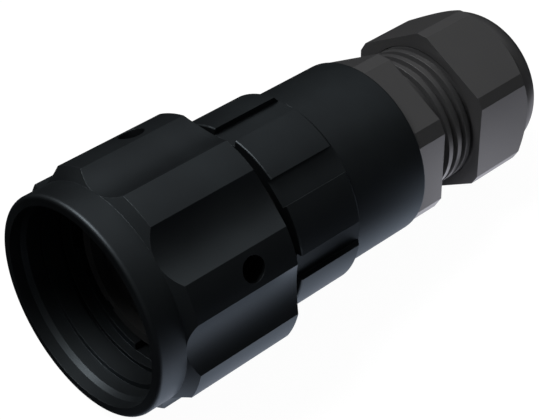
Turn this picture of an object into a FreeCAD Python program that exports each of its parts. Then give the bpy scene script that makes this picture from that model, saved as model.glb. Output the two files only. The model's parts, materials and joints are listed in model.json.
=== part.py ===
import FreeCAD, Part
import Sketcher
import math
import os

# Circular cable plug lying on its side: a scalloped bayonet coupling ring turns on a keyed
# shell with seven socket contacts, an adapter barrel is screwed on behind it, and a
# plastic cable gland with a domed nut closes the rear.
# Every piece is built along the plug's own axis: X runs from the mating rim at 0 to the
# cable end, and radii are measured from that axis. The last section lays the plug down.

doc = FreeCAD.newDocument("cable_plug")
sheet = doc.addObject("Spreadsheet::Sheet", "Sizes")

# Driving dimensions in millimetres and degrees: name, number, what it is
DIMENSIONS = [
    ("insert_bore", 11.7, "bore of the shell for insulator, grommet and follower"),
    ("shell_wall", 1.1, "wall of the shell's front, over which the receptacle slides"),
    ("shell_lip_height", 0.6, "lip that keeps the insulator in"),
    ("shell_lip_length", 2.0, "length of that lip"),
    ("neck_wall", 1.9, "wall of the shell's neck behind the flange"),
    ("shell_thread_wall", 0.9, "wall under the shell's rear thread"),
    ("shell_setback", 0.6, "shell's front edge behind the start of the pin tracks"),
    ("shell_end_gap", 0.65, "shell's rear edge in front of the barrel's inner step"),
    ("flange_thickness", 1.2, "flange that carries the coupling ring"),
    ("key_count", 5, "polarising keyways"),
    ("key_width", 1.6, "narrow keyways"),
    ("main_key_width", 3.0, "wide keyway at the top"),
    ("key_depth", 0.6, "depth of the keyways"),
    ("gasket_length", 1.8, "face gasket in front of the flange"),
    ("gasket_height", 0.9, "height of that gasket over the shell"),
    ("gasket_bite", 0.2, "depth of the gasket's seat in the shell"),
    ("ring_length", 25.5, "coupling ring, rim to rear face"),
    ("receptacle_room", 1.1, "gap round the shell that takes the receptacle's wall"),
    ("track_height", 1.05, "depth of the pin tracks"),
    ("track_width", 3.4, "pin tracks"),
    ("track_depth", 10.4, "start of the pin tracks behind the rim"),
    ("track_entry", 2.4, "straight entry of a track, to the middle of its ramp"),
    ("ramp_turn", 70, "turn of the ring that locks it"),
    ("pin_count", 4, "pin tracks and witness holes"),
    ("witness_radius", 2.05, "round holes that show the locked pins"),
    ("witness_setback", 2.5, "those holes in front of the rear pocket"),
    ("mating_step", 1.2, "step from the tracks' bore up to the smooth bore"),
    ("relief_depth", 8.2, "start of the relief groove"),
    ("relief_width", 0.7, "width of the relief groove"),
    ("relief_height", 0.8, "depth of the relief groove"),
    ("shoulder_depth", 5.1, "forward facing shoulder in the ring"),
    ("shoulder_height", 0.9, "height of that shoulder"),
    ("entry_taper", 1.0, "taper in front of the shoulder's bore"),
    ("entry_step", 0.3, "height of that taper"),
    ("entry_depth", 1.9, "depth of the mouth"),
    ("lip_wall", 1.7, "wall of the round lip at the ring's front"),
    ("lip_length", 5.0, "length of that lip"),
    ("ring_cone", 1.25, "cone from the lip up to the lands"),
    ("rim_round", 0.65, "rounded outer edge of the rim"),
    ("pocket_height", 2.7, "rear pocket of the ring, over the tracks' bore"),
    ("pocket_depth", 5.2, "depth of the rear pocket"),
    ("scallop_wall", 1.35, "ring wall between pocket and scallops"),
    ("scallop_depth", 1.85, "depth of the scallops under the lands"),
    ("scallop_radius", 9.0, "hollow of one scallop"),
    ("scallop_count", 8, "scallops round the ring, and pads round the barrel"),
    ("clip_wall", 0.9, "ring wall behind the retaining ring"),
    ("clip_thickness", 1.0, "retaining ring"),
    ("clip_bite", 0.5, "how far the retaining ring sits in its groove"),
    ("clip_play", 0.7, "retaining ring clear of the neck"),
    ("clip_gap", 16, "open angle of the retaining ring"),
    ("clip_turn", 200, "where the retaining ring's opening starts"),
    ("washer_thickness", 0.5, "thrust washer"),
    ("washer_play", 0.5, "thrust and wave washer clear of the neck"),
    ("wave_thickness", 0.35, "strip of the wave washer"),
    ("wave_count", 3, "waves round the washer"),
    ("wave_points", 16, "points that shape one wave"),
    ("running_gap", 0.08, "radial play of what turns or slides"),
    ("stack_gap", 0.05, "axial play between stacked pieces"),
    ("fit_gap", 0.05, "radial play of threads and plugged fits"),
    ("overcut", 1.0, "how far a cut reaches past the surface that it opens"),
    ("insulator_length", 9.0, "hard front insulator"),
    ("grommet_length", 8.0, "soft rear grommet"),
    ("follower_wall", 2.1, "wall of the follower"),
    ("contact_circle", 6.6, "radius of the ring of contacts"),
    ("contact_count", 6, "contacts round the middle one"),
    ("contact_recess", 0.6, "contact tip behind the insulator's face"),
    ("socket_bore", 1.05, "socket of a contact"),
    ("socket_wall", 0.5, "wall of that socket"),
    ("socket_depth", 7.0, "depth of that socket"),
    ("collar_height", 0.45, "collar of a contact over its front barrel"),
    ("collar_length", 1.0, "length of that collar"),
    ("wire_bore", 1.0, "wire hole in the crimp barrel"),
    ("crimp_wall", 0.45, "wall of the crimp barrel"),
    ("wire_depth", 5.5, "depth of the wire hole"),
    ("crimp_overhang", 3.5, "crimp barrel behind the grommet"),
    ("barrel_gap", 3.8, "gap between coupling ring and adapter barrel"),
    ("barrel_length", 28.6, "adapter barrel"),
    ("barrel_seat_wall", 1.32, "barrel wall over the front seal's seat"),
    ("barrel_wall", 2.97, "barrel wall round the wire space"),
    ("barrel_round", 0.4, "rounded rear edge of the barrel"),
    ("pad_height", 1.18, "grip pads over the barrel"),
    ("pad_length", 13.35, "length of the pads"),
    ("pad_ramp", 1.1, "length of the slope at the rear end of the pads"),
    ("pad_slot_width", 4.5, "flat between two pads"),
    ("pad_slot_bite", 0.02, "how far those flats cut into the barrel"),
    ("pad_round", 0.3, "rounded front edge of the pads"),
    ("stop_depth", 7.35, "inner step of the barrel that the follower meets"),
    ("stop_thickness", 2.0, "thickness of that step"),
    ("stop_play", 0.8, "bore of that step over the follower's"),
    ("seal_section", 0.6, "section radius of both sealing rings"),
    ("seal_seat_depth", 1.3, "depth of both sealing ring seats"),
    ("cable_bore", 7.2, "way for the cable"),
    ("spigot_wall", 2.8, "wall of the gland's front thread"),
    ("spigot_length", 8.9, "length of that thread"),
    ("spigot_seat", 10.0, "threaded length in the barrel's rear wall"),
    ("across_flats", 27.0, "wrench size of gland and nut"),
    ("body_corner_cut", 0.74, "bevelled corners of the gland's hexagon"),
    ("body_hex_length", 6.0, "gland hexagon"),
    ("claw_seat_wall", 2.4, "seat of the clamping claw, over the cable's way"),
    ("claw_seat_depth", 9.5, "depth of that seat"),
    ("thread_wall", 1.5, "wall between that seat and the thread's core"),
    ("thread_height", 0.75, "thread crest over the core"),
    ("thread_length", 14.2, "length of the gland's rear thread"),
    ("thread_edge", 0.6, "bevel at the thread's end"),
    ("relief_neck_cut", 0.5, "neck between hexagon and thread, under the core"),
    ("relief_neck_length", 1.3, "length of that neck"),
    ("claw_wall", 1.5, "wall of the claw"),
    ("claw_straight", 11.9, "straight part of the claw"),
    ("claw_fingertips", 4.0, "tapered end of the claw"),
    ("claw_taper", 1.85, "how far the fingers taper in"),
    ("claw_tip_wall", 0.8, "wall at the finger tips"),
    ("claw_slot_width", 1.2, "slots between the fingers"),
    ("claw_slot_length", 7.5, "length of those slots"),
    ("claw_finger_count", 8, "fingers of the claw"),
    ("sealing_reach", 1.2, "soft sleeve's bore inside the cable's way"),
    ("sealing_offset", 0.8, "sleeve behind the claw's base"),
    ("nut_grip", 6.5, "thread still held by the nut, unscrewed as it lies"),
    ("nut_corner_cut", 0.59, "bevelled corners of the nut"),
    ("nut_hex_length", 12.8, "hexagon of the nut, with its end bevel"),
    ("nut_bevel", 1.95, "turned bevel at the hexagon's end"),
    ("dome_step", 0.5, "domed end inside the hexagon's flats"),
    ("dome_length", 5.3, "domed end behind the hexagon"),
    ("dome_edge", 0.1, "straight start of the dome, before its rounding"),
    ("nut_thread_clear", 0.2, "play between nut and thread crest"),
    ("nut_bore_depth", 8.6, "threaded bore of the nut"),
    ("nut_cone_step", 1.45, "step from that bore to the inner cone"),
    ("nut_cone_length", 6.0, "length of that cone"),
    ("nut_cone_rest", 0.8, "narrow end of that cone, over the cable's way"),
    ("slip_thickness", 0.7, "slip ring"),
    ("slip_play", 0.15, "slip ring inside the cone's narrow end"),
    ("slip_clear", 0.3, "bore of the slip ring over the sleeve's"),
]


class Size:
    """A number together with the sheet expression that it comes from."""

    def __init__(self, number, text):
        self.number = number
        self.text = text

    def __add__(self, other):
        return Size(self.number + number_of(other), "(%s + %s)" % (self.text, text_of(other)))

    def __radd__(self, other):
        return Size(number_of(other) + self.number, "(%s + %s)" % (text_of(other), self.text))

    def __sub__(self, other):
        return Size(self.number - number_of(other), "(%s - %s)" % (self.text, text_of(other)))

    def __rsub__(self, other):
        return Size(number_of(other) - self.number, "(%s - %s)" % (text_of(other), self.text))

    def __mul__(self, other):
        return Size(self.number * number_of(other), "(%s * %s)" % (self.text, text_of(other)))

    def __truediv__(self, other):
        return Size(self.number / number_of(other), "(%s / %s)" % (self.text, text_of(other)))

    def __rtruediv__(self, other):
        return Size(number_of(other) / self.number, "(%s / %s)" % (text_of(other), self.text))

    def __neg__(self):
        return Size(-self.number, "(-%s)" % self.text)


def number_of(value):
    return value.number if isinstance(value, Size) else value


def text_of(value):
    return value.text if isinstance(value, Size) else repr(value)


def cosine(angle):
    return Size(math.cos(math.radians(number_of(angle))), "cos(%s)" % text_of(angle))


def sine(angle):
    return Size(math.sin(math.radians(number_of(angle))), "sin(%s)" % text_of(angle))


class Sizes:
    """The driving dimensions, one attribute for each named cell."""


d = Sizes()
for row, (name, number, note) in enumerate(DIMENSIONS, start=1):
    sheet.set("A%d" % row, name)
    sheet.set("B%d" % row, str(number))
    sheet.set("C%d" % row, note)
    sheet.setAlias("B%d" % row, name)
    setattr(d, name, Size(number, "Sizes." + name))
doc.recompute()


def bind(feature, prop, size):
    """Sets a property to a size and keeps it bound to the sheet."""
    if isinstance(size, Size):
        kind = int if isinstance(getattr(feature, prop), int) else float
        setattr(feature, prop, kind(round(size.number, 9)))
        feature.setExpression(prop, size.text)
    else:
        setattr(feature, prop, size)


def new_body(label):
    body = doc.addObject("PartDesign::Body", label)
    body.Label = label
    return body


def origin_part(body, role):
    for feature in body.Origin.OriginFeatures:
        if feature.Role == role:
            return feature


def new_sketch(body, plane, name, offset=None):
    """A sketch on one of the body's own planes, moved along the plane's normal if asked."""
    sketch = body.newObject("Sketcher::SketchObject", name)
    sketch.AttachmentSupport = [(origin_part(body, plane), "")]
    sketch.MapMode = "FlatFace"
    if offset is not None:
        sketch.AttachmentOffset = FreeCAD.Placement(FreeCAD.Vector(0, 0, number_of(offset)),
                                                    FreeCAD.Rotation())
        sketch.setExpression("AttachmentOffset.Base.z", text_of(offset))
    return sketch


def turn_sketch(sketch, axis, angle):
    """Turns a sketch about one of its own axes."""
    vector = {"x": FreeCAD.Vector(1, 0, 0), "z": FreeCAD.Vector(0, 0, 1)}[axis]
    offset = sketch.AttachmentOffset
    offset.Rotation = FreeCAD.Rotation(vector, number_of(angle))
    sketch.AttachmentOffset = offset
    sketch.setExpression("AttachmentOffset.Rotation.Angle", text_of(angle))


# Points of a sketched line or circle, as constraints number them
START, END, CENTRE = range(1, 4)


def pin_point(sketch, geometry, corner, point):
    """Holds a point of the sketch at a place given by two sizes."""
    for kind, axis, size in (("DistanceX", -2, point[0]), ("DistanceY", -1, point[1])):
        if number_of(size) == 0 and not isinstance(size, Size):
            sketch.addConstraint(Sketcher.Constraint("PointOnObject", geometry, corner, axis))
        else:
            index = sketch.addConstraint(
                Sketcher.Constraint(kind, -1, 1, geometry, corner, number_of(size)))
            sketch.setExpression("Constraints[%d]" % index, text_of(size))


def draw_polygon(sketch, points):
    """A closed outline through points, each held by two sizes."""
    places = [FreeCAD.Vector(number_of(a), number_of(b), 0) for a, b in points]
    first = sketch.GeometryCount
    for start, end in zip(places, places[1:] + places[:1]):
        sketch.addGeometry(Part.LineSegment(start, end), False)
    last = first + len(points)
    for i in range(first, last):
        follower = i + 1 if i + 1 < last else first
        sketch.addConstraint(Sketcher.Constraint("Coincident", i, END, follower, START))
    for i, point in enumerate(points):
        pin_point(sketch, first + i, START, point)


def draw_circle(sketch, centre, radius):
    place = FreeCAD.Vector(number_of(centre[0]), number_of(centre[1]), 0)
    circle = sketch.addGeometry(Part.Circle(place, FreeCAD.Vector(0, 0, 1), number_of(radius)), False)
    pin_point(sketch, circle, CENTRE, centre)
    index = sketch.addConstraint(Sketcher.Constraint("Radius", circle, number_of(radius)))
    sketch.setExpression("Constraints[%d]" % index, text_of(radius))


def draw_hexagon(sketch, flats):
    """A hexagon about the axis with one corner straight up, sized across its flats."""
    corner_radius = flats / 2 / cosine(30)
    corners = []
    for k in range(6):
        angle = math.radians(90 + 60 * k)
        corners.append(FreeCAD.Vector(corner_radius.number * math.cos(angle),
                                      corner_radius.number * math.sin(angle), 0))
    for start, end in zip(corners, corners[1:] + corners[:1]):
        sketch.addGeometry(Part.LineSegment(start, end), False)
    circle = sketch.addGeometry(
        Part.Circle(FreeCAD.Vector(), FreeCAD.Vector(0, 0, 1), corner_radius.number), True)
    sketch.addConstraint(Sketcher.Constraint("Coincident", circle, CENTRE, -1, START))
    index = sketch.addConstraint(Sketcher.Constraint("Radius", circle, corner_radius.number))
    sketch.setExpression("Constraints[%d]" % index, corner_radius.text)
    for i in range(6):
        sketch.addConstraint(Sketcher.Constraint("Coincident", i, END, (i + 1) % 6, START))
        sketch.addConstraint(Sketcher.Constraint("PointOnObject", i, START, circle))
    for i in range(1, 6):
        sketch.addConstraint(Sketcher.Constraint("Equal", 0, i))
    sketch.addConstraint(Sketcher.Constraint("PointOnObject", 0, START, -2))


def spin(body, name, points, cut=False, sweep=360):
    """Turns an outline of (station, radius) points about the plug's axis."""
    sketch = new_sketch(body, "XY_Plane", name + "_outline")
    draw_polygon(sketch, points)
    doc.recompute()
    feature = body.newObject("PartDesign::Groove" if cut else "PartDesign::Revolution", name)
    feature.Profile = sketch
    feature.ReferenceAxis = (origin_part(body, "X_Axis"), [""])
    bind(feature, "Angle", sweep)
    body.Tip = feature
    doc.recompute()
    return feature


def extrude(body, name, sketch, length, cut=False, reverse=False, both=False, through=False):
    """Pads or pockets a sketch along its normal."""
    feature = body.newObject("PartDesign::Pocket" if cut else "PartDesign::Pad", name)
    feature.Profile = sketch
    if through:
        feature.Type = "ThroughAll"
    else:
        bind(feature, "Length", length)
    feature.Reversed = reverse
    if both:
        feature.SideType = "Symmetric"
    body.Tip = feature
    doc.recompute()
    return feature


def repeat_round(body, name, features, count, sweep=360):
    """Repeats features about the plug's axis."""
    pattern = body.newObject("PartDesign::PolarPattern", name)
    pattern.Originals = features
    pattern.Axis = (origin_part(body, "X_Axis"), [""])
    bind(pattern, "Angle", sweep)
    bind(pattern, "Occurrences", count)
    body.Tip = pattern
    doc.recompute()
    return pattern


# How near to its place an edge is looked for, in millimetres
NEAR = 1e-3


def circular_edges(feature, station, radius):
    """Names of the edges that lie on a circle about the axis."""
    names = []
    for i, edge in enumerate(feature.Shape.Edges, start=1):
        curve = edge.Curve
        if not isinstance(curve, Part.Circle):
            continue
        same_place = abs(curve.Center.x - number_of(station)) < NEAR
        same_size = abs(curve.Radius - number_of(radius)) < NEAR
        on_axis = math.hypot(curve.Center.y, curve.Center.z) < NEAR
        if same_place and same_size and on_axis:
            names.append("Edge%d" % i)
    return names


def corner_edges(feature, radius):
    """Names of the straight edges that run along the axis at a distance from it."""
    names = []
    for i, edge in enumerate(feature.Shape.Edges, start=1):
        start, end = edge.Vertexes[0].Point, edge.Vertexes[-1].Point
        along = abs(end.y - start.y) < NEAR and abs(end.z - start.z) < NEAR
        if along and abs(math.hypot(start.y, start.z) - number_of(radius)) < NEAR:
            names.append("Edge%d" % i)
    return names


def dress(body, kind, name, base, edges, size):
    """Rounds or bevels edges of the last feature."""
    if not edges:
        raise RuntimeError("no edges found for " + name)
    feature = body.newObject("PartDesign::" + kind, name)
    feature.Base = (base, edges)
    bind(feature, "Radius" if kind == "Fillet" else "Size", size)
    body.Tip = feature
    doc.recompute()
    return feature


def tube(label, front, rear, inner, outer):
    """A plain round ring or sleeve."""
    body = new_body(label)
    spin(body, label + "_wall", [(front, inner), (rear, inner), (rear, outer), (front, outer)])
    return body


def sealing_ring(label, station, inner):
    """A round rubber ring that lies on a surface of the given radius."""
    ring = doc.addObject("Part::Torus", label)
    ring.Label = label
    bind(ring, "Radius1", inner + d.seal_section)
    bind(ring, "Radius2", d.seal_section)
    return ring, FreeCAD.Placement(FreeCAD.Vector(number_of(station), 0, 0),
                                   FreeCAD.Rotation(FreeCAD.Vector(0, 1, 0), 90))


step = 360 / d.scallop_count
half_step = step / 2

# Radii from the inside out: shell, coupling ring, adapter barrel
shell_radius = d.insert_bore + d.shell_wall
neck_radius = d.insert_bore + d.neck_wall
shell_thread_radius = d.insert_bore + d.shell_thread_wall
shell_lip_radius = d.insert_bore - d.shell_lip_height
gasket_seat = shell_radius - d.gasket_bite
insert_radius = d.insert_bore - d.fit_gap
track_radius = shell_radius + d.receptacle_room
track_floor = track_radius + d.track_height
mating_radius = track_radius + d.mating_step
pilot_radius = mating_radius + d.shoulder_height
entry_radius = pilot_radius + d.entry_step
lip_radius = entry_radius + d.lip_wall
pocket_radius = track_radius + d.pocket_height
scallop_floor = pocket_radius + d.scallop_wall
ring_radius = scallop_floor + d.scallop_depth
washer_inner = neck_radius + d.washer_play
follower_inner = d.insert_bore - d.follower_wall
thread_bore = shell_thread_radius + d.fit_gap
shell_seal_seat = shell_thread_radius + d.seal_section * 2 + d.fit_gap
barrel_radius = shell_seal_seat + d.barrel_seat_wall
pad_radius = barrel_radius + d.pad_height

# Radii of the contacts
contact_radius = d.socket_bore + d.socket_wall
collar_radius = contact_radius + d.collar_height
crimp_radius = d.wire_bore + d.crimp_wall

# Radii of the gland, and of the corners of its two hexagons
spigot_radius = d.cable_bore + d.spigot_wall
spigot_bore = spigot_radius + d.fit_gap
gland_seal_seat = spigot_radius + d.seal_section * 2 + d.fit_gap * 2
claw_seat = d.cable_bore + d.claw_seat_wall
thread_core = claw_seat + d.thread_wall
thread_crest = thread_core + d.thread_height
claw_outer = claw_seat - d.fit_gap
claw_inner = claw_outer - d.claw_wall
claw_tip_radius = claw_outer - d.claw_taper
claw_tip_inner = claw_tip_radius - d.claw_tip_wall
sealing_bore = d.cable_bore - d.sealing_reach
nut_cone_end = d.cable_bore + d.nut_cone_rest
slip_outer = nut_cone_end - d.slip_play
hexagon_corner = d.across_flats / 2 / cosine(30)
nut_corner = hexagon_corner - d.nut_corner_cut

# Stations of the stack in the ring's rear pocket, from its floor to the rear face
pocket_floor = d.ring_length - d.pocket_depth
flange_front = pocket_floor + d.stack_gap * 2
flange_rear = flange_front + d.flange_thickness
gasket_front = flange_front - d.gasket_length
clip_groove_rear = d.ring_length - d.clip_wall
clip_rear = clip_groove_rear - d.stack_gap
clip_front = clip_rear - d.clip_thickness
clip_groove_front = clip_front - d.stack_gap
washer_rear = clip_front - d.stack_gap
washer_front = washer_rear - d.washer_thickness

# Stations of what the shell holds, and of the barrel behind it
witness_depth = pocket_floor - d.witness_setback
ramp_depth = d.track_depth + d.track_entry
shell_front = d.track_depth + d.shell_setback
insulator_front = shell_front + d.shell_lip_length
insulator_rear = insulator_front + d.insulator_length
grommet_rear = insulator_rear + d.grommet_length
barrel_front = d.ring_length + d.barrel_gap
stop_front = barrel_front + d.stop_depth
barrel_rear = barrel_front + d.barrel_length

# Stations of the gland and its nut
hexagon_rear = barrel_rear + d.body_hex_length
thread_front = hexagon_rear + d.relief_neck_length
gland_rear = thread_front + d.thread_length
claw_front = gland_rear - d.claw_seat_depth + d.stack_gap
claw_bend = claw_front + d.claw_straight
claw_rear = claw_bend + d.claw_fingertips
nut_front = gland_rear - d.nut_grip
nut_hex_rear = nut_front + d.nut_hex_length
nut_rear = nut_hex_rear + d.dome_length
cone_front = nut_front + d.nut_bore_depth
cone_rear = cone_front + d.nut_cone_length
slip_front = cone_rear + d.stack_gap
slip_rear = slip_front + d.slip_thickness


def make_coupling_ring():
    """Turned ring with eight scallops, four pin slots with ramps and four witness holes."""
    body = new_body("coupling_ring")
    cone_end = d.lip_length + d.ring_cone
    spin(body, "ring_blank", [
        (0, entry_radius),
        (0, lip_radius),
        (d.lip_length, lip_radius),
        (cone_end, ring_radius),
        (d.ring_length, ring_radius),
        (d.ring_length, pocket_radius),
        (clip_groove_rear, pocket_radius),
        (clip_groove_rear, pocket_radius + d.clip_bite),
        (clip_groove_front, pocket_radius + d.clip_bite),
        (clip_groove_front, pocket_radius),
        (pocket_floor, pocket_radius),
        (pocket_floor, track_radius),
        (d.track_depth, track_radius),
        (d.track_depth, mating_radius),
        (d.relief_depth + d.relief_width, mating_radius),
        (d.relief_depth + d.relief_width, mating_radius + d.relief_height),
        (d.relief_depth, mating_radius + d.relief_height),
        (d.relief_depth, mating_radius),
        (d.shoulder_depth, mating_radius),
        (d.shoulder_depth, pilot_radius),
        (d.entry_depth + d.entry_taper, pilot_radius),
        (d.entry_depth, entry_radius),
    ])
    blank = body.Tip
    dress(body, "Fillet", "rim_rounding", blank, circular_edges(blank, 0, lip_radius),
          d.rim_round)

    sketch = new_sketch(body, "YZ_Plane", "scallop_circle", d.lip_length)
    centre = scallop_floor + d.scallop_radius
    draw_circle(sketch, (centre * cosine(half_step), centre * sine(half_step)), d.scallop_radius)
    doc.recompute()
    scallop = extrude(body, "scallop", sketch, d.ring_length - d.lip_length, cut=True,
                      reverse=True)
    repeat_round(body, "scallops", [scallop], d.scallop_count)

    sketch = new_sketch(body, "XY_Plane", "witness_circle")
    draw_circle(sketch, (witness_depth, 0), d.witness_radius)
    doc.recompute()
    witness = extrude(body, "witness_pair", sketch, 0, cut=True, both=True, through=True)
    repeat_round(body, "witness_holes", [witness], d.pin_count / 2, 180 - 360 / d.pin_count)

    entry_turn = 90 - d.ramp_turn
    inner = track_radius - d.overcut
    sketch = new_sketch(body, "YZ_Plane", "entry_outline", d.track_depth)
    turn_sketch(sketch, "z", entry_turn)
    draw_polygon(sketch, [
        (inner, -d.track_width / 2),
        (track_floor, -d.track_width / 2),
        (track_floor, d.track_width / 2),
        (inner, d.track_width / 2),
    ])
    doc.recompute()
    entry = extrude(body, "entry_slot", sketch, ramp_depth + d.track_width / 2 - d.track_depth,
                    cut=True, reverse=True)
    repeat_round(body, "entry_slots", [entry], d.pin_count)

    sketch = new_sketch(body, "XY_Plane", "ramp_outline")
    turn_sketch(sketch, "x", entry_turn)
    draw_polygon(sketch, [
        (ramp_depth - d.track_width / 2, inner),
        (ramp_depth + d.track_width / 2, inner),
        (ramp_depth + d.track_width / 2, track_floor),
        (ramp_depth - d.track_width / 2, track_floor),
    ])
    doc.recompute()
    ramp = body.newObject("PartDesign::SubtractiveHelix", "pin_ramp")
    ramp.Profile = sketch
    ramp.ReferenceAxis = (origin_part(body, "X_Axis"), [""])
    ramp.Mode = "height-turns-growth"
    bind(ramp, "Height", witness_depth - ramp_depth)
    bind(ramp, "Turns", d.ramp_turn / 360)
    body.Tip = ramp
    doc.recompute()
    repeat_round(body, "pin_ramps", [ramp], d.pin_count)
    return body


def make_retaining_ring():
    """Split spring ring that snaps into the ring's groove and holds the stack."""
    body = new_body("retaining_ring")
    inner = neck_radius + d.clip_play
    outer = pocket_radius + d.clip_bite - d.stack_gap
    spin(body, "clip_section", [
        (clip_front, inner),
        (clip_rear, inner),
        (clip_rear, outer),
        (clip_front, outer),
    ], sweep=360 - d.clip_gap)
    return body


def make_wave_washer():
    """Spring washer, a flat strip bent into waves between flange and thrust washer."""
    front = number_of(flange_rear + d.stack_gap)
    rear = number_of(washer_front - d.stack_gap - d.wave_thickness)
    middle, swing = (front + rear) / 2, (rear - front) / 2
    waves = round(number_of(d.wave_count))
    count = waves * round(number_of(d.wave_points))
    outer = number_of(pocket_radius - d.running_gap * 2)
    edges = []
    for radius in (number_of(washer_inner), outer):
        points = []
        for k in range(count):
            turn = 2 * math.pi * k / count
            points.append(FreeCAD.Vector(middle + swing * math.cos(waves * turn),
                                         radius * math.cos(turn), radius * math.sin(turn)))
        curve = Part.BSplineCurve()
        curve.interpolate(points, PeriodicFlag=True)
        edges.append(curve.toShape())
    strip = Part.makeRuledSurface(edges[0], edges[1])
    washer = doc.addObject("Part::Feature", "wave_washer")
    washer.Label = "wave_washer"
    washer.Shape = Part.Solid(strip.extrude(FreeCAD.Vector(number_of(d.wave_thickness), 0, 0)))
    return washer


def make_plug_shell():
    """Shell with the flange that carries the ring, keyways outside and a rear thread."""
    body = new_body("plug_shell")
    thread_start = barrel_front - d.fit_gap * 2
    shell_rear = stop_front - d.shell_end_gap
    spin(body, "shell_wall", [
        (shell_front, shell_lip_radius),
        (shell_front, shell_radius),
        (gasket_front, shell_radius),
        (gasket_front, gasket_seat),
        (flange_front, gasket_seat),
        (flange_front, pocket_radius - d.running_gap),
        (flange_rear, pocket_radius - d.running_gap),
        (flange_rear, neck_radius),
        (thread_start, neck_radius),
        (thread_start, shell_thread_radius),
        (shell_rear, shell_thread_radius),
        (shell_rear, d.insert_bore),
        (insulator_front, d.insert_bore),
        (insulator_front, shell_lip_radius),
    ])
    floor = shell_radius - d.key_depth
    slots = []
    for name, width in (("main_keyway", d.main_key_width), ("keyway", d.key_width)):
        sketch = new_sketch(body, "YZ_Plane", name + "_outline", shell_front)
        top = shell_radius + d.overcut
        draw_polygon(sketch, [
            (-width / 2, floor),
            (width / 2, floor),
            (width / 2, top),
            (-width / 2, top),
        ])
        doc.recompute()
        slots.append(extrude(body, name, sketch, gasket_front - shell_front,
                             cut=True, reverse=True))
    repeat_round(body, "keyways", [slots[1]], d.key_count)
    return body


def make_contact_holes(body, name, front, length, radius):
    """One hole on the axis and a ring of like holes round it."""
    sketch = new_sketch(body, "YZ_Plane", name + "_middle_circle", front)
    draw_circle(sketch, (0, 0), radius)
    doc.recompute()
    extrude(body, name + "_middle", sketch, length, cut=True, reverse=True)
    sketch = new_sketch(body, "YZ_Plane", name + "_outer_circle", front)
    draw_circle(sketch, (0, d.contact_circle), radius)
    doc.recompute()
    hole = extrude(body, name + "_outer", sketch, length, cut=True, reverse=True)
    repeat_round(body, name + "_ring", [hole], d.contact_count)


def make_front_insulator():
    """Hard disc that holds the contacts' front barrels."""
    body = tube("front_insulator", insulator_front, insulator_rear, 0, insert_radius)
    make_contact_holes(body, "cavity", insulator_front, d.insulator_length,
                       contact_radius + d.fit_gap)
    return body


def make_rear_grommet():
    """Soft sealing disc behind the insulator, with room for the contacts' collars."""
    body = tube("rear_grommet", insulator_rear, grommet_rear, 0, insert_radius)
    make_contact_holes(body, "wire_hole", insulator_rear, d.grommet_length,
                       crimp_radius + d.fit_gap)
    make_contact_holes(body, "collar_room", insulator_rear, d.collar_length + d.fit_gap * 2,
                       collar_radius + d.fit_gap)
    return body


def make_contact(label):
    """Turned socket contact: front barrel, collar and crimp barrel."""
    tip = insulator_front + d.contact_recess
    collar_front = insulator_rear + d.fit_gap
    collar_rear = collar_front + d.collar_length
    rear = grommet_rear + d.crimp_overhang
    body = new_body(label)
    spin(body, label + "_turning", [
        (tip, d.socket_bore),
        (tip, contact_radius),
        (collar_front, contact_radius),
        (collar_front, collar_radius),
        (collar_rear, collar_radius),
        (collar_rear, crimp_radius),
        (rear, crimp_radius),
        (rear, d.wire_bore),
        (rear - d.wire_depth, d.wire_bore),
        (rear - d.wire_depth, 0),
        (tip + d.socket_depth, 0),
        (tip + d.socket_depth, d.socket_bore),
    ])
    return body


def make_adapter_barrel():
    """Barrel with eight grip pads round its front, screwed on the shell's rear thread."""
    body = new_body("adapter_barrel")
    cavity_radius = barrel_radius - d.barrel_wall
    stop_radius = follower_inner + d.stop_play
    pad_rear = barrel_front + d.pad_length
    seat_front = barrel_rear - d.seal_seat_depth
    spin(body, "barrel_wall", [
        (barrel_front, shell_seal_seat),
        (barrel_front, pad_radius),
        (pad_rear - d.pad_ramp, pad_radius),
        (pad_rear, barrel_radius),
        (barrel_rear, barrel_radius),
        (barrel_rear, gland_seal_seat),
        (seat_front, gland_seal_seat),
        (seat_front, spigot_bore),
        (barrel_rear - d.spigot_seat, spigot_bore),
        (barrel_rear - d.spigot_seat, cavity_radius),
        (stop_front + d.stop_thickness, cavity_radius),
        (stop_front + d.stop_thickness, stop_radius),
        (stop_front, stop_radius),
        (stop_front, thread_bore),
        (barrel_front + d.seal_seat_depth, thread_bore),
        (barrel_front + d.seal_seat_depth, shell_seal_seat),
    ])
    wall = body.Tip
    dress(body, "Fillet", "pad_rounding", wall, circular_edges(wall, barrel_front, pad_radius),
          d.pad_round)
    wall = body.Tip
    dress(body, "Fillet", "rear_rounding", wall,
          circular_edges(wall, barrel_rear, barrel_radius), d.barrel_round)
    sketch = new_sketch(body, "YZ_Plane", "pad_slot_outline", barrel_front)
    floor = barrel_radius - d.pad_slot_bite
    top = pad_radius + d.overcut
    draw_polygon(sketch, [
        (-d.pad_slot_width / 2, floor),
        (d.pad_slot_width / 2, floor),
        (d.pad_slot_width / 2, top),
        (-d.pad_slot_width / 2, top),
    ])
    doc.recompute()
    slot = extrude(body, "pad_slot", sketch, d.pad_length, cut=True, reverse=True)
    repeat_round(body, "pad_slots", [slot], d.scallop_count)
    return body


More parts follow.
